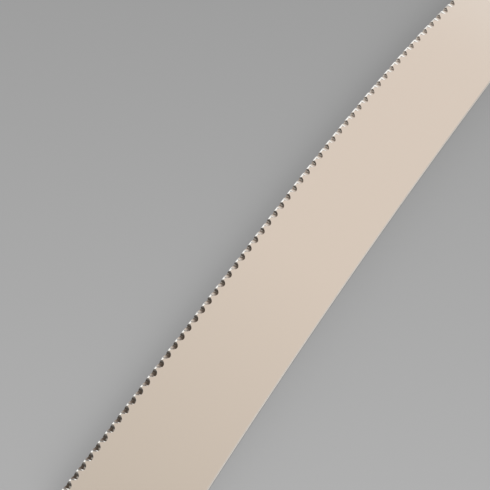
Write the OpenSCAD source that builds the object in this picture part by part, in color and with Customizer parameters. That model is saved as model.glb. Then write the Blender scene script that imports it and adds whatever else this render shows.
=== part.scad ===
// Cake knife: a sabre-swept blade with a scalloped edge, and a full-tang handle with bolsters, scales and rivets.

/* [Blade] */
// Thickness of the sheet that the blade and tang are cut from
stock_t = 2; // [1.9:0.1:2.3]
// Half-width of the blade where it leaves the bolster
neck_half_w = 9.3; // [8.8:0.1:9.5]
// Radius of the hollow sweep of the spine
spine_r = 1715; // [1600:5:1900]
// Angle at which the spine leaves the bolster
spine_tilt = 3.2; // [3:0.1:3.4]
// Distance of the edge line from the handle axis at the bolster
edge_y = 17.8; // [17.5:0.1:18.3]
// Slope of the straight stretch of the edge towards the spine
edge_slope = 1.13; // [0.9:0.01:1.3]
// Length of the straight stretch of the edge
straight_len = 95; // [90:1:100]
// Radius of the belly of the edge
belly_r = 685; // [600:5:800]
// Length of the belly
belly_len = 42; // [40:1:44]
// Radius of the fore part of the edge
fore_r = 276; // [260:1:300]
// Length of the fore part
fore_len = 25; // [22:1:27]
// Radius of the edge where it sweeps up to the point
point_r = 85; // [82:1:90]
// Length of that sweep
point_len = 40; // [38:1:41]
// Depth ground off each face at the spine
grind_depth = 0.1; // [0.06:0.02:0.12]
// Slope of each ground face from the spine to the edge
grind_angle = 1.2; // [1.1:0.02:1.22]
// Slope of each ground face from the heel to the point
distal_angle = 0.1; // [0.06:0.01:0.1]
// Unground length in front of the bolster
ricasso = 3; // [2:0.5:5]

/* [Serration] */
// Distance from one scallop to the next
scallop_pitch = 2.5; // [2.4:0.1:3]
// Radius of the wheel that grinds a scallop
scallop_r = 1.5; // [1.3:0.05:1.5]
// How far a scallop runs in from the edge
scallop_run = 1.35; // [1.1:0.05:1.8]
// How far the scallop breaks through at the back
scallop_break = 0.05; // [0.02:0.01:0.08]
// Distance of the first scallop from the bolster
scallop_start = 12.3; // [11.5:0.1:20]
// Plain length left at the point
plain_len = 8; // [6:0.5:20]

/* [Handle] */
// Length from the bolster front to the butt
handle_len = 120; // [110:1:130]
// Thickness over both sides
handle_t = 15; // [13.5:0.5:17]
// Half-width at the waist
waist_half_w = 8.8; // [8.6:0.1:9]
// Half-width at the rear bolster
rear_half_w = 10.8; // [10.4:0.1:11.5]
// Distance of the waist behind the bolster front
waist_x = 40; // [36:1:44]
// Radius of the long outer edges
round_r = 5; // [3.5:0.25:5.25]

/* [Bolsters] */
// Length of the front bolster
front_len = 22; // [21:1:26]
// Length of the rear bolster
rear_len = 20; // [16:1:24]
// Length of the front bolster's curved nose
nose_len = 9.5; // [8:0.5:10]
// Radius of the nose
nose_r = 11; // [10.6:0.1:12]
// Diameter of the bolster pins
pin_d = 2.5; // [2:0.1:3]
// Distance between the pins of a bolster
pin_gap = 5.5; // [4.5:0.1:6]
// Distance of the rear pins' middle behind the scales
rear_pin_set = 8; // [6:0.5:9]

/* [Rivets] */
// Number of rivets
rivet_count = 3; // [2:1:3]
// Distance between rivets
rivet_gap = 27; // [24:1:28]
// Diameter of a rivet head
head_d = 6.4; // [5.6:0.1:6.8]
// Thickness of a rivet head
head_t = 1.4; // [1:0.1:1.8]
// Outer diameter of the rivet sleeve
sleeve_d = 4.4; // [4:0.1:4.8]
// Diameter of the rivet stud inside the sleeve
stud_d = 3; // [2.4:0.1:3.2]
// Clearance around the sleeve in the scales and tang
sleeve_clear = 0.05; // [0.02:0.01:0.1]

/* [Hidden] */
$fn = 96;
sweep_fn = 256;
margin = 2;
half_t = handle_t / 2;
tang_z = stock_t / 2;
blade_reach = 40;
tip_step = 7.5;
spine_steps = 48;
tang_lap = 2;
tangent_lap = 1.004;
stud_lap = head_t / 2;

// Edge line: each station is a point and a heading, and the arcs turn towards the spine
function run(p, d) = [p[0] + d * cos(p[2]), p[1] + d * sin(p[2]), p[2]];
function arc_turn(d, r) = d / r * 180 / PI;
function turned(p, a, r) = [p[0] + r * (sin(p[2]) - sin(a)), p[1] + r * (cos(a) - cos(p[2])), a];
function turn(p, d, r) = turned(p, p[2] - arc_turn(d, r), r);
heel_at = [0, edge_y, -edge_slope];
belly_at = run(heel_at, straight_len);
fore_at = turn(belly_at, belly_len, belly_r);
point_at = turn(fore_at, fore_len, fore_r);
tip_at = turn(point_at, point_len, point_r);

// Point: a round that runs on from the edge and into the spine
function spine_y(x) =
    sqrt(spine_r * spine_r - pow(x - spine_r * sin(spine_tilt), 2)) - spine_r * cos(spine_tilt) - neck_half_w;
spine_end = -asin((tip_at[0] - spine_r * sin(spine_tilt)) / spine_r);
tip_gap = tip_at[1] - spine_y(tip_at[0]);
tip_lean = tan(spine_end) * (sin(tip_at[2]) + sin(spine_end));
tip_r = tip_gap / (cos(spine_end) + cos(tip_at[2]) + tip_lean);
end_at = turned(tip_at, -90, tip_r);
back_at = turned(tip_at, spine_end - 180, tip_r);

// Stations along the edge
belly_s = straight_len;
fore_s = belly_s + belly_len;
point_s = fore_s + fore_len;
tip_s = point_s + point_len;
function edge_at(s) =
    s < belly_s ? run(heel_at, s) :
    s < fore_s ? turn(belly_at, s - belly_s, belly_r) :
    s < point_s ? turn(fore_at, s - fore_s, fore_r) :
    turn(point_at, s - point_s, point_r);
scallop_count = floor((tip_s - plain_len - scallop_start) / scallop_pitch) + 1;
function scallop_s(i) = scallop_start + i * scallop_pitch;
serrated_end = scallop_s(scallop_count - 1);
choil_r = edge_y - neck_half_w;

// Height of the ground face above the middle plane of the blade
function face_z(x, y) =
    tang_z - grind_depth - x * tan(distal_angle) - (y + neck_half_w) * tan(grind_angle) / cos(distal_angle);

// Handle plan
rear_x = handle_len - rear_len;
waist_sag = rear_half_w - waist_half_w;
waist_chord = rear_x - waist_x;
waist_r = (waist_chord * waist_chord + waist_sag * waist_sag) / (2 * waist_sag);
waist_y = waist_half_w + waist_r;
butt_x = handle_len - rear_half_w;
wheel_turn = 12;

// Fixings
front_pin_x = -(front_len + nose_len) / 2;
rear_pin_x = -rear_x - rear_pin_set;
rivet_x = -(front_len + rear_x) / 2;
function spread(i, n, gap) = (i - (n - 1) / 2) * gap;

// Place of the knife in its frame: lying on its side, centred on its box
knife_x = (handle_len - end_at[0]) / 2;
knife_y = (rear_half_w - run(heel_at, choil_r)[1]) / 2;
steel = [0.8, 0.8, 0.78];
polished = [0.85, 0.85, 0.84];
wood = [0.33, 0.19, 0.11];

module placed() {
    translate([knife_x, knife_y, half_t]) children();
}

module both_sides() {
    children();
    mirror([0, 0, 1]) children();
}

module right_side() {
    mirror([0, 0, 1]) children();
}

// Flat outline of the blade, with one outline point at each scallop
module blade_plan() {
    serrated = [for (i = [0:scallop_count - 1]) edge_at(scallop_s(i))];
    plain = [for (s = [serrated_end + 1:1:tip_s]) edge_at(s)];
    rounded = [for (a = [tip_at[2]:-tip_step:-90]) turned(tip_at, a, tip_r)];
    under = [for (a = [-90:-tip_step:spine_end - 180]) turned(tip_at, a, tip_r)];
    stations = concat([run(heel_at, -tang_lap)], serrated, plain, rounded, under, [back_at]);
    edge = [for (p = stations) [p[0], p[1]]];
    spine_x = [for (i = [spine_steps - 1:-1:0]) (back_at[0] + tang_lap) * i / spine_steps - tang_lap];
    back = [for (x = spine_x) [x, spine_y(x)]];
    difference() {
        polygon(concat(edge, back));
        translate([0, edge_y]) circle(choil_r);
    }
}

// Outline of the handle from one station to another
module waist_waste() {
    for (side = [-1, 1])
        translate([-waist_x, side * waist_y]) circle(waist_r, $fn = sweep_fn);
}

module waisted_plan(from, to) {
    difference() {
        translate([-to, -rear_half_w - margin]) square([to - from, 2 * (rear_half_w + margin)]);
        waist_waste();
    }
}

// Outline of the whole tang, waisted in front of the rear bolster and round behind
module tang_plan() {
    difference() {
        translate([-butt_x, -rear_half_w]) square([butt_x, 2 * rear_half_w]);
        intersection() {
            translate([-rear_x, -blade_reach]) square([rear_x + margin, 2 * blade_reach]);
            waist_waste();
        }
    }
    translate([-butt_x, 0]) circle(rear_half_w);
}

// Waste taken off a long outer edge, with the corner at the origin and the work to the right and below.
// The round is drawn a touch large, so that it meets the flats in a clean line.
module corner_waste() {
    difference() {
        translate([-margin, -round_r]) square([round_r + margin, round_r + margin]);
        translate([round_r, -round_r]) circle(round_r * tangent_lap);
    }
}

module waist_rounding() {
    for (side = [-1, 1])
        translate([-waist_x, side * waist_y, half_t])
            rotate([0, 0, -side * 90 - wheel_turn / 2])
                rotate_extrude(angle = wheel_turn, $fn = sweep_fn)
                    translate([waist_r, 0]) corner_waste();
}

module butt_section() {
    difference() {
        translate([0, tang_z]) square([rear_half_w, half_t - tang_z]);
        translate([rear_half_w, half_t]) mirror([1, 0]) corner_waste();
    }
}

module at_rivets() {
    for (i = [0:rivet_count - 1])
        translate([rivet_x + spread(i, rivet_count, rivet_gap), 0, 0]) children();
}

module at_front_pins() {
    for (i = [0:1])
        translate([front_pin_x + spread(i, 2, pin_gap), 0, 0]) children();
}

module at_rear_pins() {
    for (i = [0:1])
        translate([rear_pin_x + spread(i, 2, pin_gap), 0, 0]) children();
}

module pin() {
    cylinder(d = pin_d, h = handle_t, center = true);
}

module sleeve_hole() {
    cylinder(d = sleeve_d + 2 * sleeve_clear, h = handle_t + margin, center = true);
}

// Face grinding: everything above the sloping plane of one side
module face_grind() {
    translate([0, -neck_half_w, tang_z - grind_depth])
        rotate([-grind_angle, distal_angle, 0])
            translate([ricasso, -blade_reach, 0]) cube([2 * tip_s, 2 * blade_reach, stock_t]);
}

// One scallop: a round wheel run in at a slope, from behind the edge up to the face
module scallop(p) {
    back_z = -face_z(p[0], p[1]) - scallop_break;
    face_in = face_z(p[0] + scallop_run * sin(p[2]), p[1] - scallop_run * cos(p[2]));
    slope = atan((face_in - back_z) / scallop_run);
    translate([p[0], p[1], back_z])
        rotate([0, 0, p[2]])
            rotate([90 - slope, 0, 0])
                translate([0, scallop_r, -margin])
                    cylinder(r = scallop_r, h = 2 * margin + scallop_run / cos(slope));
}

module blade() {
    color(steel) placed() difference() {
        translate([0, 0, -tang_z]) {
            linear_extrude(stock_t) blade_plan();
            linear_extrude(stock_t) tang_plan();
        }
        both_sides() face_grind();
        for (i = [0:scallop_count - 1]) scallop(edge_at(scallop_s(i)));
        at_rivets() sleeve_hole();
        at_front_pins() pin();
        at_rear_pins() pin();
    }
}

module front_bolster() {
    difference() {
        translate([0, 0, tang_z]) linear_extrude(half_t - tang_z) waisted_plan(0, front_len);
        waist_rounding();
        rotate([90, 0, 0]) linear_extrude(4 * rear_half_w, center = true) difference() {
            translate([-nose_len, 0]) square([nose_len + margin, half_t + margin]);
            translate([-nose_len, half_t - nose_r]) circle(nose_r * tangent_lap);
        }
        at_front_pins() pin();
    }
}

module front_bolster_left() {
    color(polished) placed() front_bolster();
}

module front_bolster_right() {
    color(polished) placed() right_side() front_bolster();
}

module front_bolster_pins() {
    color(polished) placed() at_front_pins() pin();
}

module scale() {
    difference() {
        translate([0, 0, tang_z]) linear_extrude(half_t - tang_z) waisted_plan(front_len, rear_x);
        waist_rounding();
        at_rivets() {
            sleeve_hole();
            translate([0, 0, half_t - head_t]) cylinder(d = head_d, h = head_t + margin);
        }
    }
}

module scale_left() {
    color(wood) placed() scale();
}

module scale_right() {
    color(wood) placed() right_side() scale();
}

module rivet_sleeves() {
    color(polished) placed() at_rivets() difference() {
        translate([0, 0, -half_t]) {
            cylinder(d = head_d, h = head_t);
            cylinder(d = sleeve_d, h = handle_t - head_t);
        }
        translate([0, 0, head_t - half_t]) cylinder(d = stud_d, h = handle_t);
    }
}

module rivet_studs() {
    color(polished) placed() at_rivets() {
        translate([0, 0, half_t - head_t]) cylinder(d = head_d, h = head_t);
        translate([0, 0, head_t - half_t]) cylinder(d = stud_d, h = handle_t - 2 * head_t + stud_lap);
    }
}

module rear_bolster() {
    difference() {
        translate([-butt_x, 0, 0]) {
            rotate([0, 0, 90]) rotate_extrude(angle = 180) butt_section();
            rotate([90, 0, 90]) linear_extrude(butt_x - rear_x) {
                butt_section();
                mirror([1, 0]) butt_section();
            }
        }
        at_rear_pins() pin();
    }
}

module rear_bolster_left() {
    color(polished) placed() rear_bolster();
}

module rear_bolster_right() {
    color(polished) placed() right_side() rear_bolster();
}

module rear_bolster_pins() {
    color(polished) placed() at_rear_pins() pin();
}

blade();
front_bolster_left();
front_bolster_right();
front_bolster_pins();
scale_left();
scale_right();
rivet_sleeves();
rivet_studs();
rear_bolster_left();
rear_bolster_right();
rear_bolster_pins();
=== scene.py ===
from math import asin, atan, cos, pi, radians, sin, sqrt, tan

import bmesh
import bpy
from mathutils import Matrix, Vector


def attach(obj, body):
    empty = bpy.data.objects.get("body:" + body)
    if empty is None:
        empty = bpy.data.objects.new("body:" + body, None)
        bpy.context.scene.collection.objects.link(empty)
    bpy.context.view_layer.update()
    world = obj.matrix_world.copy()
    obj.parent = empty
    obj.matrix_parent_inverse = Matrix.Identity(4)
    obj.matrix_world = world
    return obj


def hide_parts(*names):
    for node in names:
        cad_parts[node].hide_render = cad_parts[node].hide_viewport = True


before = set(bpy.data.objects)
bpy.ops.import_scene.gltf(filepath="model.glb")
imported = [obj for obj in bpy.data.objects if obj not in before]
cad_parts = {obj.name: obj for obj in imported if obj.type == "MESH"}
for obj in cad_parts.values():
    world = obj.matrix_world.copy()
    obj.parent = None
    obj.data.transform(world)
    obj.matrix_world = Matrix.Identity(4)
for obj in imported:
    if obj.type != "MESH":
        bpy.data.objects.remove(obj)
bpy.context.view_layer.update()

# The blade and its tang are one piece of stainless sheet: blanked to outline, ground flat on both
# faces from the spine to the edge, and polished to a mirror. A small round wheel, run in at a slope
# from the edge up to the upper face, leaves the row of scallops that cuts the cake.
mm = 0.001
handle_length = 120
half_thick = 7.5
edge_height = 17.8
edge_slope = radians(1.13)
straight_edge = 95
edge_arcs = ((42, 685), (25, 276), (40, 85))
arc_step = 1.5
neck_half = 9.3
choil_radius = edge_height - neck_half
choil_steps = 24
point_steps = 32
spine_radius = 1715
spine_tilt = radians(3.2)
spine_steps = 90
half_stock = 1
waist_half = 8.8
waist_back = 40
waist_radius = 901
waist_centre = waist_half + waist_radius
waist_steps = 40
rear_half = 10.8
rear_start = 100
butt_x = rear_half - handle_length
butt_steps = 48


def edge_station(run):
    """Point of the edge line, and its heading, at a distance from the bolster."""
    place, heading, gone = Vector((0, edge_height)), -edge_slope, 0
    for length, radius in ((straight_edge, None), *edge_arcs):
        step = min(run - gone, length)
        if radius is None:
            place = place + Vector((cos(heading), sin(heading))) * step
        else:
            after = heading - step / radius
            place = place + Vector((sin(heading) - sin(after), cos(after) - cos(heading))) * radius
            heading = after
        gone += step
        if gone >= run:
            break
    return place, heading


def waist_at(back):
    """Half the width of the waisted handle at a distance behind the blade."""
    return waist_centre - sqrt(waist_radius ** 2 - (back - waist_back) ** 2)


def waist_turn(front, rear):
    """Angle of the waist's curve between two distances behind the blade."""
    return asin((rear - waist_back) / waist_radius) - asin((front - waist_back) / waist_radius)


def only_verts(geom):
    """The vertices among what an operator gives back."""
    return [g for g in geom if isinstance(g, bmesh.types.BMVert)]


def walk(bm, vert, to=None, about=None, turn=0, steps=1):
    """Draws an outline on, straight to a point or round a centre, and gives its last vertex."""
    if to is not None:
        new = bmesh.ops.extrude_vert_indiv(bm, verts=[vert])["verts"][0]
        new.co = (*to, 0)
        return new
    spun = bmesh.ops.spin(
        bm, geom=[vert], cent=(*about, 0), axis=(0, 0, 1), angle=turn, steps=steps
    )
    return only_verts(spun["geom_last"])[0]


def thicken(bm, low, high):
    """Fills a drawn outline, raises it to a plate between two heights, and gives the upper side."""
    base = bmesh.ops.contextual_create(bm, geom=bm.edges[:])["faces"]
    bmesh.ops.translate(bm, verts=bm.verts, vec=(0, 0, low))
    top = bmesh.ops.extrude_face_region(bm, geom=base)["geom"]
    bmesh.ops.translate(bm, verts=only_verts(top), vec=(0, 0, high - low))
    bmesh.ops.recalc_face_normals(bm, faces=bm.faces)
    return top


blade_bm = bmesh.new()
first = blade_bm.verts.new((0, neck_half, 0))
vert = walk(blade_bm, first, about=(0, edge_height), turn=pi / 2 - edge_slope, steps=choil_steps)
vert = walk(blade_bm, vert, to=edge_station(straight_edge)[0])
gone = straight_edge
for length, radius in edge_arcs:
    place, heading = edge_station(gone)
    centre = place + Vector((sin(heading), -cos(heading))) * radius
    vert = walk(blade_bm, vert, about=centre, turn=-length / radius, steps=int(length / arc_step))
    gone += length

# The point is a round that touches both the end of the swept edge and the bowed spine
sweep_end, heading = edge_station(gone)
spine_centre = Vector(
    (spine_radius * sin(spine_tilt), -spine_radius * cos(spine_tilt) - neck_half)
)
spine_fall = -asin((sweep_end.x - spine_centre.x) / spine_radius)
point_gap = sweep_end.y - spine_centre.y - spine_radius * cos(spine_fall)
point_lean = tan(spine_fall) * (sin(heading) + sin(spine_fall))
point_radius = point_gap / (cos(spine_fall) + cos(heading) + point_lean)
centre = sweep_end + Vector((sin(heading), -cos(heading))) * point_radius
tip_x = centre.x + point_radius
vert = walk(blade_bm, vert, about=centre, turn=spine_fall - pi - heading, steps=point_steps)
spine_turn = asin((vert.co.x - spine_centre.x) / spine_radius) + spine_tilt
vert = walk(blade_bm, vert, about=spine_centre, turn=spine_turn, steps=spine_steps)

# The tang has the outline of the handle
tang_turn = waist_turn(0, rear_start)
vert = walk(blade_bm, vert, to=(0, -waist_at(0)))
vert = walk(
    blade_bm, vert, about=(-waist_back, -waist_centre), turn=tang_turn, steps=waist_steps
)
vert = walk(blade_bm, vert, to=(butt_x, -rear_half))
vert = walk(blade_bm, vert, about=(butt_x, 0), turn=-pi, steps=butt_steps)
vert = walk(blade_bm, vert, to=(-rear_start, rear_half))
vert = walk(blade_bm, vert, about=(-waist_back, waist_centre), turn=tang_turn, steps=waist_steps)
blade_bm.edges.new((vert, first))
thicken(blade_bm, -half_stock, half_stock)


def cut(bm, tool):
    """Takes one shape away from another, in millimetres, and gives what is left."""
    pair = []
    for shape in (bm, tool):
        mesh = bpy.data.meshes.new("cut")
        shape.to_mesh(mesh)
        shape.free()
        pair.append(bpy.data.objects.new("cut", mesh))
        bpy.context.scene.collection.objects.link(pair[-1])
    modifier = pair[0].modifiers.new("cut", "BOOLEAN")
    modifier.object = pair[1]
    modifier.solver = "EXACT"
    graph = bpy.context.evaluated_depsgraph_get()
    left = bmesh.new()
    left.from_object(pair[0], graph)
    for shape in pair:
        bpy.data.meshes.remove(shape.data)
    return left


# Both faces are ground thinner towards the edge and, much less, towards the point
grind_depth = 0.1
grind_angle = radians(1.2)
distal_angle = radians(0.1)
ricasso = 3
grind_box = Vector((300, 120, 4))
grind_bm = bmesh.new()
for side in (1, -1):
    box = bmesh.ops.create_cube(grind_bm, size=1)["verts"]
    bmesh.ops.scale(grind_bm, vec=grind_box, verts=box)
    bmesh.ops.translate(grind_bm, vec=(grind_box.x / 2 + ricasso, 0, grind_box.z / 2), verts=box)
    tilt = Matrix.Rotation(distal_angle, 4, "Y") @ Matrix.Rotation(-grind_angle, 4, "X")
    lift = Matrix.Translation((0, -neck_half, half_stock - grind_depth))
    bmesh.ops.transform(grind_bm, matrix=lift @ tilt, verts=box)
    bmesh.ops.scale(grind_bm, vec=(1, 1, side), verts=box)
bmesh.ops.recalc_face_normals(grind_bm, faces=grind_bm.faces)
blade_bm = cut(blade_bm, grind_bm)

# The mop rounds the two corners of the spine, and the edge is honed from above to a narrow facet.
# A rim's normal rises little and a face's a lot, and the margin keeps clear of the ends.
spine_round = 0.35
spine_segments = 5
hone_width = 0.36
hone_angle = radians(36)
rim_rise = 0.3
face_rise = 0.9
flat_rise = 0.99
rim_margin = 0.5
merge_gap = 0.0001


def middle_of(edge):
    """The point halfway along an edge."""
    return (edge.verts[0].co + edge.verts[1].co) / 2


def rims(bm, wanted):
    """The edges between a face of the blade and its rim, where their middles are wanted."""
    found = []
    for edge in bm.edges:
        rises = sorted(abs(face.normal.z) for face in edge.link_faces)
        if rises[0] < rim_rise and rises[1] > face_rise and wanted(middle_of(edge)):
            found.append(edge)
    return found


def on_spine(middle):
    """Whether a point of the rim is on the spine or the point, clear of the neck and the edge."""
    return middle.x > ricasso + rim_margin and middle.y < sweep_end.y - rim_margin


def on_edge(middle):
    """Whether a point of the rim is on the upper side of the edge, from the choil to the point."""
    return choil_radius < middle.x < sweep_end.x and middle.y > sweep_end.y and middle.z > 0


bmesh.ops.bevel(
    blade_bm, geom=rims(blade_bm, on_spine), offset=spine_round, segments=spine_segments,
    profile=0.5, affect="EDGES", material=-1,
)
facets = bmesh.ops.bevel(
    blade_bm, geom=rims(blade_bm, on_edge), offset=hone_width, segments=1,
    profile=0.5, affect="EDGES", material=-1,
)["faces"]
facet_feet = {
    vert for face in facets for vert in face.verts
    if not any(near.normal.z > flat_rise for near in vert.link_faces)
}
facet_lift = hone_width * (1 - tan(hone_angle))
bmesh.ops.translate(blade_bm, verts=list(facet_feet), vec=(0, 0, facet_lift))
bmesh.ops.remove_doubles(blade_bm, verts=blade_bm.verts, dist=merge_gap)

# Every other scallop is ground on each pass of the wheel, whose rim is round. The wheel starts and
# ends its sweep a little clear of the steel.
scallop_pitch = 2.5
scallop_radius = 1.5
scallop_run = 1.35
scallop_break = 0.05
scallop_first = 12.3
scallop_count = 73
wheel_radius = 8
wheel_lead = 0.8
wheel_steps = 8
rim_segments = 48


def ground_face(x, y):
    """Height of the ground face above the middle of the blade."""
    fall = x * tan(distal_angle) + (y + neck_half) * tan(grind_angle) / cos(distal_angle)
    return half_stock - grind_depth - fall


for start in (0, 1):
    scallop_bm = bmesh.new()
    for index in range(start, scallop_count, 2):
        place, heading = edge_station(scallop_first + index * scallop_pitch)
        inner = place + Vector((sin(heading), -cos(heading))) * scallop_run
        low = -ground_face(*place) - scallop_break
        slope = atan((ground_face(*inner) - low) / scallop_run)
        chord = scallop_run / cos(slope)
        hub = Vector((0, sqrt(wheel_radius ** 2 - (chord / 2) ** 2), chord / 2))
        sweep = (chord / 2 + wheel_lead) / wheel_radius
        aim = Matrix.Rotation(heading, 4, "Z") @ Matrix.Rotation(pi / 2 - slope, 4, "X")
        aim = Matrix.Translation((*place, low)) @ aim
        reach = Matrix.Translation((0, scallop_radius - wheel_radius, 0))
        reach = Matrix.Rotation(-sweep, 4, "X") @ reach
        disc = bmesh.ops.create_circle(
            scallop_bm, cap_ends=True, segments=rim_segments, radius=scallop_radius
        )["verts"]
        bmesh.ops.transform(
            scallop_bm, matrix=aim @ Matrix.Translation(hub) @ reach, verts=disc
        )
        bmesh.ops.spin(
            scallop_bm,
            geom=disc[0].link_faces[:],
            cent=aim @ hub,
            axis=aim.to_3x3() @ Vector((1, 0, 0)),
            angle=2 * sweep,
            steps=wheel_steps,
        )
    bmesh.ops.recalc_face_normals(scallop_bm, faces=scallop_bm.faces)
    blade_bm = cut(blade_bm, scallop_bm)

# The tang is drilled for the pins of the bolsters and for the rivets of the scales
pin_radius = 1.25
front_pins = (-18.5, -13)
rear_pins = (-110.75, -105.25)
rivet_places = (-34, -61, -88)
sleeve_radius = 2.2
sleeve_clearance = 0.05
bore_radius = sleeve_radius + sleeve_clearance
bore_segments = 64
bit_reach = 2 * half_stock


def drill(bm, holes):
    """Drills upright holes: place along the handle, radius, lowest and highest point of each."""
    bit = bmesh.new()
    for along, radius, low, high in holes:
        hole = bmesh.ops.create_cone(
            bit, cap_ends=True, segments=bore_segments, radius1=radius, radius2=radius, depth=high - low
        )["verts"]
        bmesh.ops.translate(bit, vec=(along, 0, (low + high) / 2), verts=hole)
    return cut(bm, bit)


pin_holes = [(along, pin_radius, -bit_reach, bit_reach) for along in front_pins + rear_pins]
sleeve_holes = [(along, bore_radius, -bit_reach, bit_reach) for along in rivet_places]
blade_bm = drill(blade_bm, pin_holes + sleeve_holes)

# The knife lies on its side in the middle of its frame. A flat counts as large from 20 square
# millimetres on.
heel_y = edge_station(choil_radius)[0].y
lie = Matrix.Translation(((handle_length - tip_x) / 2, (rear_half - heel_y) / 2, half_thick))
large_flat = 20


def finished(bm, name, crisp=radians(25)):
    """A mesh object in the frame, from a shape in millimetres.

    Curves shade smooth, and large flats have crisp edges.
    """
    for face in bm.faces:
        face.smooth = True
    for edge in bm.edges:
        flat = any(face.calc_area() > large_flat for face in edge.link_faces)
        edge.smooth = not flat and edge.calc_face_angle(0) < crisp
    bmesh.ops.transform(bm, matrix=Matrix.Scale(mm, 4) @ lie, verts=bm.verts)
    mesh = bpy.data.meshes.new(name)
    bm.to_mesh(mesh)
    bm.free()
    piece = bpy.data.objects.new(name, mesh)
    bpy.context.scene.collection.objects.link(piece)
    return piece


def linear(code):
    """Linear colour of an sRGB hex value."""
    parts = [int(code[i:i + 2], 16) / 255 for i in (1, 3, 5)]
    return (*[p / 12.92 if p <= 0.04045 else ((p + 0.055) / 1.055) ** 2.4 for p in parts], 1)


def scale_for(size):
    """Scale of a pattern whose marks have a size in millimetres."""
    return 1 / (size * mm)


def add(tree, kind, inputs=None, stops=(), **settings):
    """Adds a node with its settings and colour stops, and fills its sockets or links them."""
    new = tree.nodes.new(kind)
    for key, value in settings.items():
        setattr(new, key, value)
    for index, (place, colour) in enumerate(stops):
        if index < 2:
            stop = new.color_ramp.elements[index]
        else:
            stop = new.color_ramp.elements.new(place)
        stop.position = place
        stop.color = linear(colour)
    for key, value in (inputs or {}).items():
        if isinstance(value, bpy.types.NodeSocket):
            tree.links.new(value, new.inputs[key])
        else:
            new.inputs[key].default_value = value
    return new


def material(name):
    """A new material with nothing in it yet, and its node tree."""
    made = bpy.data.materials.new(name)
    made.use_nodes = True
    made.node_tree.nodes.clear()
    return made, made.node_tree


def fitted(piece, finish, node):
    """Gives a piece its finish, and puts it in its node's place on the knife."""
    piece.data.materials.clear()
    piece.data.materials.append(finish)
    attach(piece, "root")
    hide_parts(node)


# Stainless steel, mirror polished along its length: a clear reflection, very slightly drawn out by
# the mop's lines. The real lines are some 0.02 mm apart, and are drawn at 0.2 mm so that they show.
mop_lines = (6.67, 0.2, 0.2)
mirror_steel, tree = material("mirror_polished_stainless")
spot = add(tree, "ShaderNodeTexCoord")
drawn = add(
    tree, "ShaderNodeMapping",
    {"Vector": spot.outputs["Object"], "Scale": [scale_for(size) for size in mop_lines]},
)
lines = add(tree, "ShaderNodeTexNoise", {"Vector": drawn.outputs[0], "Scale": 1.0, "Detail": 3.0})
gloss = add(
    tree, "ShaderNodeMapRange",
    {"Value": lines.outputs["Fac"], "From Min": 0.3, "From Max": 0.7, "To Min": 0.03, "To Max": 0.09},
)
grain = add(
    tree, "ShaderNodeBump",
    {"Height": lines.outputs["Fac"], "Strength": 0.06, "Distance": 0.02 * mm},
)
shader = add(
    tree, "ShaderNodeBsdfPrincipled",
    {
        "Base Color": linear("#DAD8D4"),
        "Metallic": 1.0,
        "Roughness": gloss.outputs[0],
        "Normal": grain.outputs[0],
    },
)
add(tree, "ShaderNodeOutputMaterial", {"Surface": shader.outputs[0]})
fitted(finished(blade_bm, "polished_blade"), mirror_steel, "blade")

# Two front bolsters of stainless bar stand one on each face of the tang. Their noses are milled to a
# curve that runs down to the blade, the outer edges are rounded for the hand, and the whole is buffed.
round_radius = 5
round_segments = 18
front_length = 22
side_steps = 24
end_margin = 0.01
nose_length = 9.5
nose_radius = 11
nose_steps = 36
nose_overrun = 0.4
nose_clear = 2
nose_width = 30
hole_overrun = 1
crease = radians(8)


def raised_block(bm, long_edge):
    """Raises an outline from the tang to the handle's side, and rounds the outer edges picked."""
    top = thicken(bm, half_stock, half_thick)
    outer = [g for g in top if isinstance(g, bmesh.types.BMEdge) and long_edge(middle_of(g))]
    bmesh.ops.bevel(
        bm, geom=outer, offset=round_radius, segments=round_segments,
        profile=0.5, affect="EDGES", material=-1,
    )
    bmesh.ops.remove_doubles(bm, verts=bm.verts, dist=merge_gap)
    return bm


def waisted(front, rear):
    """A block of the handle's upper side: waisted in plan, with its long outer edges rounded."""
    bm = bmesh.new()
    corners = []
    for side, start in ((-1, front), (1, rear)):
        corner = (-start, side * waist_at(start))
        if corners:
            vert = walk(bm, corners[-1], to=corner)
        else:
            vert = bm.verts.new((*corner, 0))
        centre = (-waist_back, side * waist_centre)
        last = walk(bm, vert, about=centre, turn=waist_turn(front, rear), steps=side_steps)
        corners += [vert, last]
    bm.edges.new((corners[-1], corners[0]))
    return raised_block(bm, lambda middle: end_margin - rear < middle.x < -front - end_margin)


def other_side(bm):
    """The same shape for the other side of the tang."""
    copy = bm.copy()
    bmesh.ops.scale(copy, vec=(1, 1, -1), verts=copy.verts)
    bmesh.ops.reverse_faces(copy, faces=copy.faces)
    return copy


nose_bm = bmesh.new()
first = nose_bm.verts.new((-nose_length, half_thick, 0))
nose_centre = (-nose_length, half_thick - nose_radius)
nose_turn = -asin((nose_length + nose_overrun) / nose_radius)
vert = walk(nose_bm, first, about=nose_centre, turn=nose_turn, steps=nose_steps)
vert = walk(nose_bm, vert, to=(vert.co.x, half_thick + nose_clear))
vert = walk(nose_bm, vert, to=(-nose_length, half_thick + nose_clear))
nose_bm.edges.new((vert, first))
thicken(nose_bm, -nose_width / 2, nose_width / 2)
bmesh.ops.rotate(nose_bm, verts=nose_bm.verts, matrix=Matrix.Rotation(pi / 2, 3, "X"))
bolster_bm = cut(waisted(0, front_length), nose_bm)
bolster_bm = drill(
    bolster_bm, [(along, pin_radius, 0, half_thick + hole_overrun) for along in front_pins]
)

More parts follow.
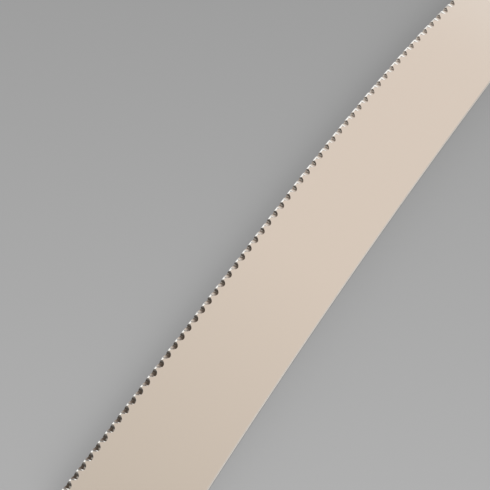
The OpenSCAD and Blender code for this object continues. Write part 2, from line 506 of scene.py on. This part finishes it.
# Stainless steel, buffed on a soft wheel along the handle: softer reflections than the blade's, with
# hair-fine lines. The real lines are some 0.02 mm apart, and are drawn at 0.15 mm so that they show.
buff_lines = (5, 0.1515, 0.1515)
buff_smear = 6.25
buffed_steel, tree = material("buffed_stainless")
spot = add(tree, "ShaderNodeTexCoord")
drawn = add(
    tree, "ShaderNodeMapping",
    {"Vector": spot.outputs["Object"], "Scale": [scale_for(size) for size in buff_lines]},
)
lines = add(tree, "ShaderNodeTexNoise", {"Vector": drawn.outputs[0], "Scale": 1.0, "Detail": 4.0})
smears = add(
    tree, "ShaderNodeTexNoise",
    {"Vector": spot.outputs["Object"], "Scale": scale_for(buff_smear), "Detail": 3.0},
)
mottle = add(
    tree, "ShaderNodeMath",
    {0: lines.outputs["Fac"], 1: 0.45, 2: smears.outputs["Fac"]}, operation="MULTIPLY_ADD",
)
gloss = add(
    tree, "ShaderNodeMapRange",
    {"Value": mottle.outputs[0], "From Min": 0.5, "From Max": 0.95, "To Min": 0.08, "To Max": 0.2},
)
grain = add(
    tree, "ShaderNodeBump",
    {"Height": lines.outputs["Fac"], "Strength": 0.1, "Distance": 0.03 * mm},
)
shader = add(
    tree, "ShaderNodeBsdfPrincipled",
    {
        "Base Color": linear("#D3D0CB"),
        "Metallic": 1.0,
        "Roughness": gloss.outputs[0],
        "Normal": grain.outputs[0],
    },
)
add(tree, "ShaderNodeOutputMaterial", {"Surface": shader.outputs[0]})
right_bm = other_side(bolster_bm)
fitted(
    finished(bolster_bm, "buffed_front_bolster_left", crease),
    buffed_steel, "front_bolster_left",
)
fitted(
    finished(right_bm, "buffed_front_bolster_right", crease),
    buffed_steel, "front_bolster_right",
)

# Two steel pins go through the front bolsters and the tang. They are peened over at both ends and
# ground flush, so that only a hair line round each one shows.
pin_chamfer = 0.12
lathe_steps = 64


def turned(bm, along, profile):
    """Turns a profile of radius and height round an upright axis at a place along the handle.

    Each point keeps its radius, for the lathe's lines.
    """
    vert = bm.verts.new((*profile[0], 0))
    verts = [vert]
    for point in profile[1:]:
        vert = walk(bm, vert, to=point)
        verts.append(vert)
    chain = [edge for edge in bm.edges if edge.verts[0] in verts and edge.verts[1] in verts]
    for v in verts:
        v.co = (v.co.x, 0, v.co.y)
    bmesh.ops.spin(
        bm, geom=verts + chain, axis=(0, 0, 1), angle=2 * pi, steps=lathe_steps, use_merge=True
    )
    bmesh.ops.remove_doubles(bm, verts=[v for v in bm.verts if not v.tag], dist=merge_gap)
    lathe = bm.verts.layers.float.get("lathe") or bm.verts.layers.float.new("lathe")
    body = [v for v in bm.verts if not v.tag]
    for v in body:
        v[lathe] = Vector((v.co.x, v.co.y)).length * mm
        v.tag = True
    bmesh.ops.translate(bm, verts=body, vec=(along, 0, 0))
    bmesh.ops.recalc_face_normals(bm, faces=bm.faces)


pin_profile = [
    (0, -half_thick),
    (pin_radius - pin_chamfer, -half_thick),
    (pin_radius, pin_chamfer - half_thick),
    (pin_radius, half_thick - pin_chamfer),
    (pin_radius - pin_chamfer, half_thick),
    (0, half_thick),
]
pins_bm = bmesh.new()
for along in front_pins:
    turned(pins_bm, along, pin_profile)

# Stainless steel, faced on a lathe and buffed: a satin face with rings round the middle. The real
# rings are some 0.05 mm apart, and are drawn at 0.25 mm so that they show.
ring_gap = 0.25
head_smear = 1.667
turned_steel, tree = material("turned_stainless")
spot = add(tree, "ShaderNodeTexCoord")
lathe_radius = add(tree, "ShaderNodeAttribute", attribute_name="lathe")
rings = add(
    tree, "ShaderNodeTexNoise",
    {"W": lathe_radius.outputs["Fac"], "Scale": scale_for(ring_gap), "Detail": 2.0},
    noise_dimensions="1D",
)
smears = add(
    tree, "ShaderNodeTexNoise",
    {"Vector": spot.outputs["Object"], "Scale": scale_for(head_smear), "Detail": 3.0},
)
mottle = add(
    tree, "ShaderNodeMath",
    {0: rings.outputs["Fac"], 1: 0.8, 2: smears.outputs["Fac"]}, operation="MULTIPLY_ADD",
)
gloss = add(
    tree, "ShaderNodeMapRange",
    {"Value": mottle.outputs[0], "From Min": 0.6, "From Max": 1.2, "To Min": 0.16, "To Max": 0.28},
)
grain = add(
    tree, "ShaderNodeBump",
    {"Height": rings.outputs["Fac"], "Strength": 0.1, "Distance": 0.03 * mm},
)
shader = add(
    tree, "ShaderNodeBsdfPrincipled",
    {
        "Base Color": linear("#CCC9C3"),
        "Metallic": 1.0,
        "Roughness": gloss.outputs[0],
        "Normal": grain.outputs[0],
    },
)
add(tree, "ShaderNodeOutputMaterial", {"Surface": shader.outputs[0]})
fitted(finished(pins_bm, "peened_front_pins"), turned_steel, "front_bolster_pins")

# Two scales of dark hardwood are glued and riveted on the tang between the bolsters. They are sawn,
# shaped on a belt with the steel already in place, sanded fine and oiled.
head_radius = 3.2
head_depth = 1.4
scale_bm = waisted(front_length, rear_start)
scale_bm = drill(scale_bm, [(along, bore_radius, 0, half_thick) for along in rivet_places])
scale_bm = drill(
    scale_bm,
    [
        (along, head_radius, half_thick - head_depth, half_thick + hole_overrun)
        for along in rivet_places
    ],
)

# The hand wears the rounded edges most
wear_layer = scale_bm.verts.layers.float.new("worn")
scale_bm.normal_update()
for vert in scale_bm.verts:
    lean = min(max(vert.normal.z, 0), 1)
    on_round = vert.co.z > half_thick - round_radius
    vert[wear_layer] = 2 * lean * sqrt(1 - lean ** 2) if on_round else 0

# Walnut, oiled: long brown streaks of early and late wood, and short dark pores along the grain. The
# real pores are some 0.15 mm wide, and are drawn at 0.4 mm so that they show.
streak_size = (71.43, 3.846, 3.125)
pore_size = (3.03, 0.4, 0.4)
hand_mark = 14.286
walnut, tree = material("oiled_walnut")
spot = add(tree, "ShaderNodeTexCoord")
along_grain = add(
    tree, "ShaderNodeMapping",
    {
        "Vector": spot.outputs["Object"],
        "Rotation": (0.3, 0.02, 0.035),
        "Scale": [scale_for(size) for size in streak_size],
    },
)
streaks = add(
    tree, "ShaderNodeTexNoise",
    {
        "Vector": along_grain.outputs[0],
        "Scale": 1.0,
        "Detail": 6.0,
        "Roughness": 0.6,
        "Distortion": 0.6,
    },
)
heartwood = [(0.3, "#2A170D"), (0.5, "#4A2B18"), (0.72, "#6B4226")]
tone = add(tree, "ShaderNodeValToRGB", {"Fac": streaks.outputs["Fac"]}, heartwood)
pore_grain = add(
    tree, "ShaderNodeMapping",
    {
        "Vector": spot.outputs["Object"],
        "Rotation": (0, 0.02, 0.035),
        "Scale": [scale_for(size) for size in pore_size],
    },
)
pores = add(
    tree, "ShaderNodeTexNoise", {"Vector": pore_grain.outputs[0], "Scale": 1.0, "Detail": 1.5}
)
pits = add(
    tree, "ShaderNodeMapRange",
    {"Value": pores.outputs["Fac"], "From Min": 0.58, "From Max": 0.66, "To Min": 0.0, "To Max": 1.0},
)
handling = add(
    tree, "ShaderNodeTexNoise",
    {"Vector": spot.outputs["Object"], "Scale": scale_for(hand_mark), "Detail": 3.0},
)
wear = add(tree, "ShaderNodeAttribute", attribute_name="worn")
rubbed = add(
    tree, "ShaderNodeMath",
    {0: wear.outputs["Fac"], 1: handling.outputs["Fac"]}, operation="MULTIPLY", use_clamp=True,
)
paler = add(
    tree, "ShaderNodeMix",
    {"Factor": rubbed.outputs[0], "A": tone.outputs[0], "B": linear("#80563A")}, data_type="RGBA",
)
pored = add(
    tree, "ShaderNodeMix",
    {"Factor": pits.outputs[0], "A": paler.outputs["Result"], "B": linear("#1C0F08")},
    data_type="RGBA",
)
sheen = add(
    tree, "ShaderNodeMapRange",
    {"Value": handling.outputs["Fac"], "From Min": 0.3, "From Max": 0.7, "To Min": 0.3, "To Max": 0.48},
)
dulled = add(
    tree, "ShaderNodeMath",
    {0: pits.outputs[0], 1: 0.25, 2: sheen.outputs[0]}, operation="MULTIPLY_ADD",
)
depth = add(
    tree, "ShaderNodeMath",
    {0: pits.outputs[0], 1: -1.0, 2: streaks.outputs["Fac"]}, operation="MULTIPLY_ADD",
)
relief = add(
    tree, "ShaderNodeBump",
    {"Height": depth.outputs[0], "Strength": 0.3, "Distance": 0.08 * mm},
)
shader = add(
    tree, "ShaderNodeBsdfPrincipled",
    {
        "Base Color": pored.outputs["Result"],
        "Roughness": dulled.outputs[0],
        "IOR": 1.5,
        "Normal": relief.outputs[0],
    },
)
add(tree, "ShaderNodeOutputMaterial", {"Surface": shader.outputs[0]})
right_bm = other_side(scale_bm)
fitted(finished(scale_bm, "walnut_scale_left", crease), walnut, "scale_left")
fitted(finished(right_bm, "walnut_scale_right", crease), walnut, "scale_right")

# Three cutler's rivets hold the scales: a headed sleeve from one side and a headed stud pressed into
# it from the other. Their heads are sunk into the wood, ground flush and buffed.
stud_radius = 1.5
head_chamfer = 0.15
head_inside = half_thick - head_depth
sleeve_profile = [
    (0, -half_thick),
    (head_radius - head_chamfer, -half_thick),
    (head_radius, head_chamfer - half_thick),
    (head_radius, -head_inside),
    (sleeve_radius, -head_inside),
    (sleeve_radius, head_inside),
    (stud_radius, head_inside),
    (stud_radius, -head_inside),
    (0, -head_inside),
]
stud_profile = [
    (0, half_thick),
    (head_radius - head_chamfer, half_thick),
    (head_radius, half_thick - head_chamfer),
    (head_radius, head_inside),
    (stud_radius, head_inside),
    (stud_radius, -head_inside),
    (0, -head_inside),
]
sleeves_bm = bmesh.new()
studs_bm = bmesh.new()
for along in rivet_places:
    turned(sleeves_bm, along, sleeve_profile)
    turned(studs_bm, along, stud_profile)
fitted(finished(sleeves_bm, "turned_rivet_sleeves"), turned_steel, "rivet_sleeves")
fitted(finished(studs_bm, "turned_rivet_studs"), turned_steel, "rivet_studs")

# Two rear bolsters of the same bar cap the tang. They follow its round butt, their outer edges are
# rounded as the scales' are, and they are buffed with the front ones.
cap_steps = 64
butt_bm = bmesh.new()
first = butt_bm.verts.new((-rear_start, -rear_half, 0))
vert = walk(butt_bm, first, to=(butt_x, -rear_half))
vert = walk(butt_bm, vert, about=(butt_x, 0), turn=-pi, steps=cap_steps)
vert = walk(butt_bm, vert, to=(-rear_start, rear_half))
butt_bm.edges.new((vert, first))
butt_bm = raised_block(butt_bm, lambda middle: middle.x < -rear_start - end_margin)
butt_bm = drill(
    butt_bm, [(along, pin_radius, 0, half_thick + hole_overrun) for along in rear_pins]
)
right_bm = other_side(butt_bm)
fitted(
    finished(butt_bm, "buffed_rear_bolster_left", crease),
    buffed_steel, "rear_bolster_left",
)
fitted(
    finished(right_bm, "buffed_rear_bolster_right", crease),
    buffed_steel, "rear_bolster_right",
)

# Two more steel pins go through the rear bolsters and the end of the tang. They are turned to the
# same profile as the front ones, and peened over and ground flush like them.
pins_bm = bmesh.new()
for along in rear_pins:
    turned(pins_bm, along, pin_profile)
fitted(finished(pins_bm, "peened_rear_pins"), turned_steel, "rear_bolster_pins")

# Floor: a plain pale sheet of studio paper, with a painted falloff: its colour is painted a little
# darker away from the lamp, in place of the lamp's own falloff. It shows half of its colour as it is,
# and the rest as the light falls, so that the knife keeps a soft shadow.
view_turn = radians(-55.554)
floor_half = 3
near, far = -0.2, 0.3
paper_painted_falloff = [(0, "#BCBCBC"), (1, "#989898")]
own_share = 0.5


def seen(tree):
    """Is 1 where the camera sees a surface, also in a mirror or through glass, and 0 elsewhere."""
    path = add(tree, "ShaderNodeLightPath")
    rays = path.outputs["Is Camera Ray"]
    for kind in ("Is Glossy Ray", "Is Transmission Ray"):
        both = add(tree, "ShaderNodeMath", {0: rays, 1: path.outputs[kind]}, operation="MAXIMUM")
        rays = both.outputs[0]
    return rays


paper, tree = material("pale_studio_paper")
spot = add(tree, "ShaderNodeTexCoord")
facing = add(
    tree, "ShaderNodeMapping",
    {"Vector": spot.outputs["Object"], "Rotation": (0, 0, -view_turn)},
)
parts = add(tree, "ShaderNodeSeparateXYZ", {"Vector": facing.outputs[0]})
shade = add(
    tree, "ShaderNodeMapRange",
    {"Value": parts.outputs["Y"], "From Min": near, "From Max": far},
    interpolation_type="SMOOTHERSTEP",
)
# The painted falloff: the paper's colour goes darker away from the lamp
tone = add(tree, "ShaderNodeValToRGB", {"Fac": shade.outputs[0]}, paper_painted_falloff)
matt = add(tree, "ShaderNodeBsdfDiffuse", {"Color": tone.outputs[0]})
plain = add(tree, "ShaderNodeEmission", {"Color": tone.outputs[0], "Strength": 1.0})
share = add(tree, "ShaderNodeMath", {0: seen(tree), 1: own_share}, operation="MULTIPLY")
mixed = add(
    tree, "ShaderNodeMixShader",
    {0: share.outputs[0], 1: matt.outputs[0], 2: plain.outputs[0]},
)
add(tree, "ShaderNodeOutputMaterial", {"Surface": mixed.outputs[0]})
floor_bm = bmesh.new()
bmesh.ops.create_grid(floor_bm, x_segments=1, y_segments=1, size=floor_half)


def staged(bm, name, finish):
    """A mesh object of the studio, which is no part of the knife."""
    mesh = bpy.data.meshes.new(name)
    bm.to_mesh(mesh)
    bm.free()
    mesh.materials.append(finish)
    made = bpy.data.objects.new(name, mesh)
    bpy.context.scene.collection.objects.link(made)
    return made


staged(floor_bm, "floor", paper)

# Studio light: an even pale surround that fills the shadows, and one large soft lamp over the handle.
# The surround is shown brighter than it lights, so that the steel has something pale to mirror.
world = bpy.data.worlds.new("studio")
bpy.context.scene.world = world
world.use_nodes = True
tree = world.node_tree
tree.nodes.clear()
fill = add(tree, "ShaderNodeBackground", {"Color": linear("#F2F2F2"), "Strength": 0.6})
shown = add(tree, "ShaderNodeBackground", {"Color": linear("#E4E4E4"), "Strength": 1.0})
mixed = add(tree, "ShaderNodeMixShader", {0: seen(tree), 1: fill.outputs[0], 2: shown.outputs[0]})
add(tree, "ShaderNodeOutputWorld", {"Surface": mixed.outputs[0]})
lamp = bpy.data.objects.new("soft_lamp", bpy.data.lights.new("soft_lamp", "AREA"))
bpy.context.scene.collection.objects.link(lamp)
lamp.data.size = 1.2
lamp.data.energy = 12
lamp.location = (-0.64, -0.64, 1.08)
lamp.rotation_euler = (-lamp.location).to_track_quat("-Z", "Y").to_euler()

# A drum of card a metre off goes right round the knife for the steel to mirror: soft light and grey
# behind, white towards the point, and dark beyond the edge. A shallow tent of card overhead is warm
# at its top and darker at its rim. The cards glow by themselves, with no lamp behind them, and only
# reflections see them, so their painted tones are the light and shade that the steel mirrors.
card_strength = 1.4
drum_radius = 1
drum_foot = -0.02
drum_head = 1.55
drum_steps = 72
tent_radius = 1
tent_rise = 0.1
tent_segments = 64
tent_place = (0.33, 0.22, 0.9)
white, light, pale, blush, rose = "#FFFFFF", "#EAE6E1", "#C4C1BE", "#CEC4BC", "#7A6E67"
stone, ash, slate, umber = "#A29D98", "#8C8681", "#4A4744", "#483F37"
cream, taupe, flint, drab = "#E4DCD5", "#A5978C", "#6C655F", "#938981"
sand, shell, linen = "#C6BBB0", "#D8CBC0", "#DBCEC4"

# Each band has the heights between which it takes over from the band below, and tones by bearing in
# degrees from the point's direction
behind = [
    (-180, pale), (-158, light), (-138, stone), (-118, pale),
    (-80, light), (-60, light), (-44, stone), (-26, pale),
]
to_point = [(8, pale), (14, white), (30, white)]
beyond = [(120, slate), (140, ash), (160, pale), (180, pale)]
drum_bands = (
    (0, 0, [
        *behind, *to_point, (36, blush), (41, rose), (48, rose), (54, white), (86, white),
        (95, stone), (106, slate), *beyond,
    ]),
    (0.16, 0.22, [
        *behind, *to_point, (36, blush), (43, blush), (49, rose), (60, umber), (76, umber),
        (84, stone), (96, stone), (106, slate), *beyond,
    ]),
    (0.33, 0.43, [
        *behind, *to_point, (36, blush), (52, blush), (58, rose), (72, umber), (102, umber), *beyond,
    ]),
    (0.5, 0.62, [
        *behind, *to_point, (38, cream), (48, blush), (58, taupe), (78, umber), (90, flint),
        (102, umber), *beyond,
    ]),
    (0.74, 0.84, [
        *behind, *to_point, (40, blush), (50, taupe), (64, rose), (74, umber), (86, stone),
        (96, stone), (106, umber), *beyond,
    ]),
    (1.0, 1.2, [(-180, pale), (15, blush), (48, blush), (80, stone), (145, stone), (180, pale)]),
)

# The tent's tones go by the distance in metres along the knife
tent_bands = (
    (0, 0, [(0, drab), (1, drab)]),
    (0.93, 0.955, [(0, light), (1, light)]),
    (0.95, 0.975, [(0.08, sand), (0.36, shell), (0.65, linen)]),
)


def card(name, bm, course, bands):
    """Hangs a glowing card, with tones along its course in bands from the foot up."""
    glow, tree = material("glowing_for_reflections_" + name)
    spot = add(tree, "ShaderNodeTexCoord")
    run = add(
        tree, "ShaderNodeTexGradient", {"Vector": spot.outputs["Object"]}, gradient_type=course
    )
    height = add(tree, "ShaderNodeSeparateXYZ", {"Vector": spot.outputs["Object"]})
    below = None
    for low, high, stops in bands:
        ramp = add(tree, "ShaderNodeValToRGB", {"Fac": run.outputs["Fac"]}, stops)
        colour = ramp.outputs["Color"]
        if below is not None:
            climb = add(
                tree, "ShaderNodeMapRange",
                {"Value": height.outputs["Z"], "From Min": low, "From Max": high},
                interpolation_type="SMOOTHSTEP",
            )
            blend = add(
                tree, "ShaderNodeMix",
                {"Factor": climb.outputs[0], "A": below, "B": colour}, data_type="RGBA",
            )
            colour = blend.outputs["Result"]
        below = colour
    # The card glows with its painted tones, for reflections only
    shine = add(tree, "ShaderNodeEmission", {"Color": below, "Strength": card_strength})
    add(tree, "ShaderNodeOutputMaterial", {"Surface": shine.outputs[0]})
    made = staged(bm, name, glow)
    made.visible_camera = False
    made.visible_diffuse = False
    made.visible_shadow = False


drum_bm = bmesh.new()
foot = drum_bm.verts.new((drum_radius, 0, drum_foot))
head = bmesh.ops.extrude_vert_indiv(drum_bm, verts=[foot])["verts"][0]
head.co = (drum_radius, 0, drum_head)
bmesh.ops.spin(
    drum_bm, geom=drum_bm.verts[:] + drum_bm.edges[:], axis=(0, 0, 1), angle=2 * pi,
    steps=drum_steps, use_merge=True,
)
drum_turns = [
    (low, high, [(bearing / 360 + 0.5, colour) for bearing, colour in stops])
    for low, high, stops in drum_bands
]
card("drum_card", drum_bm, "RADIAL", drum_turns)
tent_bm = bmesh.new()
bmesh.ops.create_circle(
    tent_bm, cap_ends=True, cap_tris=True, segments=tent_segments, radius=tent_radius
)
tent_top = [v for v in tent_bm.verts if v.co.length < tent_radius / 2]
bmesh.ops.translate(tent_bm, vec=(0, 0, tent_rise), verts=tent_top)
bmesh.ops.translate(tent_bm, vec=tent_place, verts=tent_bm.verts)
card("tent_card", tent_bm, "LINEAR", tent_bands)

# The camera looks steeply down on the fore part of the blade from the front left, through a long
# lens, so that the blade crosses the picture from the lower left to the upper right.
view_rise = radians(70)
view_target = Vector((0.04034, 0.0132, 0.0083))
view_distance = 0.3468
camera = bpy.data.objects.new("camera", bpy.data.cameras.new("camera"))
bpy.context.scene.collection.objects.link(camera)
camera.data.sensor_width = 36
camera.data.lens = 115.4
camera.data.clip_start = 0.01
back = Vector(
    (sin(view_turn) * cos(view_rise), -cos(view_turn) * cos(view_rise), sin(view_rise))
)
camera.location = view_target + back * view_distance
camera.rotation_euler = (-back).to_track_quat("-Z", "Y").to_euler()
bpy.context.scene.camera = camera
bpy.context.scene.view_settings.view_transform = "Standard"
